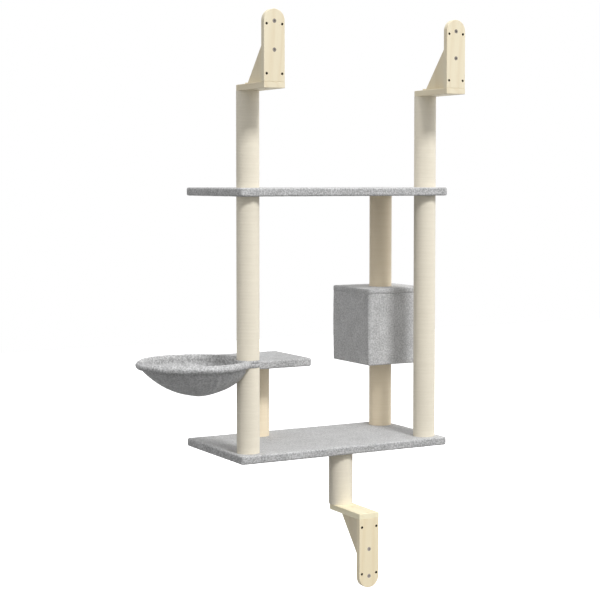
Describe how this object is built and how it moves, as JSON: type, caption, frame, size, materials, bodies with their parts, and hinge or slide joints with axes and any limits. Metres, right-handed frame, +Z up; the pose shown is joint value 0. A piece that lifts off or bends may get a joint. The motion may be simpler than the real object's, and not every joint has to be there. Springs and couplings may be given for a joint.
{
  "type": "wall mounted cat tree",
  "caption": "Cat tree hung on a wall by timber brackets: plush shelves between rope-covered posts, a box with a round way in and a round hammock on a ring.",
  "frame": {"origin": "centre of the lower wall plate's four wall holes, on the wall face", "axes": "+Z up; the wall is the plane Y = 0 and the tree stands out from it towards -Y; +X along the wall towards the hammock"},
  "size_m": [0.9127, 0.4655, 1.4653],
  "materials": {
    "plush": "short light grey plush, mottled",
    "hammock_plush": "short light grey plush, mottled",
    "post_rope": "cream rope, wound close",
    "pine": "planed pale timber",
    "board": "raw pressed board",
    "cardboard": "wound tube",
    "steel": "zinc plated"
  },
  "bodies": {
    "tree": {"arm_screws": "steel", "base_board": "board", "base_cover": "plush", "box_cover": "plush", "box_entrance_wall": "board", "box_floor": "board", "box_left_wall": "board", "box_right_wall": "board", "box_roof": "board", "box_stand_post_core": "cardboard", "box_stand_post_rope": "post_rope", "box_top_post_core": "cardboard", "box_top_post_rope": "post_rope", "box_wall_side": "board", "hammock_stud": "steel", "left_bottom_post_core": "cardboard", "left_bottom_post_rope": "post_rope", "left_bracket_arm": "pine", "left_gusset": "pine", "left_middle_post_core": "cardboard", "left_middle_post_rope": "post_rope", "left_upper_post_core": "cardboard", "left_upper_post_rope": "post_rope", "left_wall_plate": "pine", "lower_bracket_arm": "pine", "lower_gusset": "pine", "lower_post_core": "cardboard", "lower_post_rope": "post_rope", "lower_wall_plate": "pine", "plate_screws": "steel", "post_bolts": "steel", "post_plugs": "board", "post_studs": "steel", "right_bracket_arm": "pine", "right_gusset": "pine", "right_middle_post_core": "cardboard", "right_middle_post_rope": "post_rope", "right_upper_post_core": "cardboard", "right_upper_post_rope": "post_rope", "right_wall_plate": "pine", "shelf_bolts": "steel", "step_board": "board", "step_cover": "plush", "step_stand_post_core": "cardboard", "step_stand_post_rope": "post_rope", "top_board": "board", "top_cover": "plush"},
    "hammock": {"hammock_ring": "steel", "hub_discs": "board", "hub_cover": "plush", "hammock_rim": "plush", "hammock_bowl": "hammock_plush"}
  },
  "joints": [
    {"name": "hammock_swing", "type": "hinge", "parent": "tree", "child": "hammock", "pos_m": [0.2749, -0.1437, 0.483], "axis": [0, 0, 1], "range_deg": [-12, 15]}
  ]
}
